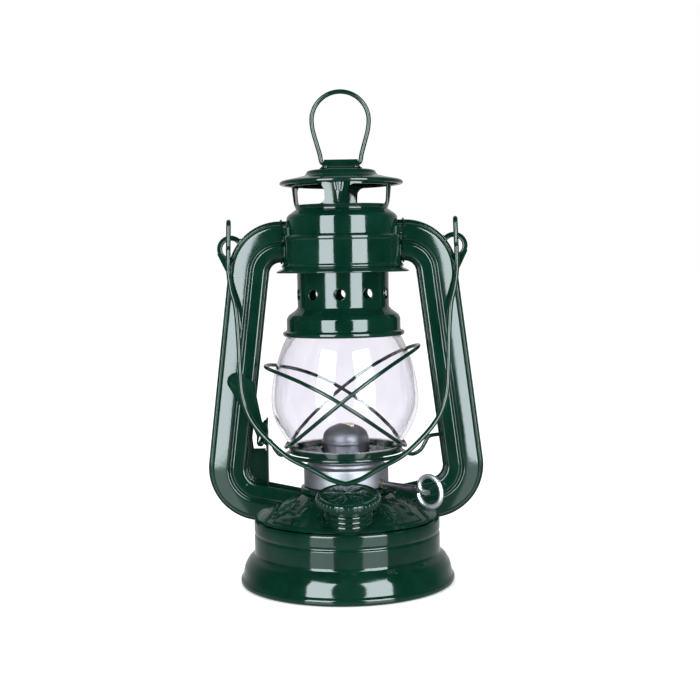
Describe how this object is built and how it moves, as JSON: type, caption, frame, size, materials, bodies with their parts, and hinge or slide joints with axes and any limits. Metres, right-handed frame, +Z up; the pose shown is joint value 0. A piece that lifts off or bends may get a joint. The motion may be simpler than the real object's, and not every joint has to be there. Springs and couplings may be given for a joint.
{
  "type": "oil lantern",
  "caption": "Free-standing tubular oil lantern with a fuel tank, wick burner, glass globe in a wire guard, vented chimney, lift ring and carrying bail.",
  "frame": {"origin": "centre of the tank's foot, on the surface the lantern stands on", "axes": "+Z up, -Y towards the filler cap at the front, +X towards the wick knob's side"},
  "size_m": [0.1404, 0.1096, 0.2495],
  "materials": {
    "enamel": "gloss dark green enamel",
    "galvanised": "satin",
    "dark_steel": "satin",
    "zinc_wire": "bright zinc",
    "brass": "satin",
    "glass": "clear, polished",
    "cotton": "woven",
    "rubber": "matt"
  },
  "bodies": {
    "tank_and_frame": {"tank_shell": "enamel", "tank_bottom": "enamel", "tank_dome": "enamel", "filler_neck": "enamel", "left_tube_front": "enamel", "left_tube_back": "enamel", "right_tube_front": "enamel", "right_tube_back": "enamel", "tube_flanges": "enamel", "bail_ears": "enamel", "air_chamber": "enamel", "chamber_floor": "enamel", "burner_collar": "enamel", "burner_body": "galvanised", "burner_floor": "galvanised", "burner_cone": "galvanised", "cone_seat": "galvanised", "wick_tube": "galvanised", "shaft_bush": "dark_steel", "lever_rivet": "enamel", "lever_bracket": "enamel"},
    "globe_carriage": {"globe_plate": "enamel", "cradle_wire": "enamel", "globe": "glass", "guard_wire_right": "enamel", "guard_wire_left": "enamel"},
    "chimney": {"globe_hood": "enamel", "flue_tube": "enamel", "crown": "enamel", "cap": "enamel", "cap_strap": "enamel", "strap_rivets": "enamel"},
    "lift_ring": {"lift_ring": "enamel"},
    "lever": {"lift_lever": "enamel"},
    "bail": {"bail": "enamel"},
    "cap_seal": {"filler_seal": "rubber"},
    "filler_cap": {"filler_cap": "enamel"},
    "wick_drive": {"wick_shaft": "brass", "knob_stem": "dark_steel", "wick_knob": "zinc_wire"},
    "wick": {"wick": "cotton"}
  },
  "joints": [
    {"name": "globe_lift", "type": "slide", "parent": "tank_and_frame", "child": "globe_carriage", "axis": [0, 0, 1], "range_m": [0, 0.005]},
    {"name": "lever_swing", "type": "hinge", "parent": "tank_and_frame", "child": "lever", "pos_m": [-0.0546, 0, 0.1039], "axis": [0, 1, 0], "range_deg": [0, 4.01]},
    {"name": "chimney_lift", "type": "slide", "parent": "globe_carriage", "child": "chimney", "axis": [0, 0, 1], "range_m": [0, 0.014]},
    {"name": "ring_swing", "type": "hinge", "parent": "chimney", "child": "lift_ring", "pos_m": [0, 0, 0.2126], "axis": [1, 0, 0], "range_deg": [-84, 84]},
    {"name": "bail_swing", "type": "hinge", "parent": "tank_and_frame", "child": "bail", "pos_m": [0, 0, 0.1761], "axis": [-1, 0, 0], "range_deg": [0, 321.6]},
    {"name": "cap_rise", "type": "slide", "parent": "tank_and_frame", "child": "cap_seal", "axis": [0, -0.2028, 0.9792], "range_m": [0, 0.003]},
    {"name": "cap_turn", "type": "hinge", "parent": "cap_seal", "child": "filler_cap", "pos_m": [0.0009, -0.0352, 0.0346], "axis": [0, -0.2028, 0.9792], "range_deg": [0, 541]},
    {"name": "wick_turn", "type": "hinge", "parent": "tank_and_frame", "child": "wick_drive", "pos_m": [0.00307, 0.00279, 0.0518], "axis": [0.6731, -0.7395, 0], "range_deg": [-80, 160]},
    {"name": "wick_rise", "type": "slide", "parent": "tank_and_frame", "child": "wick", "axis": [0, 0, 1], "range_m": [-0.0078, 0.0039]}
  ],
  "couplings": [
    {"joint": "lever_swing", "follows": "globe_lift", "rad_per_m": 13.963},
    {"joint": "cap_turn", "follows": "cap_rise", "rad_per_m": 3141.6},
    {"joint": "wick_turn", "follows": "wick_rise", "rad_per_m": -357.14}
  ]
}
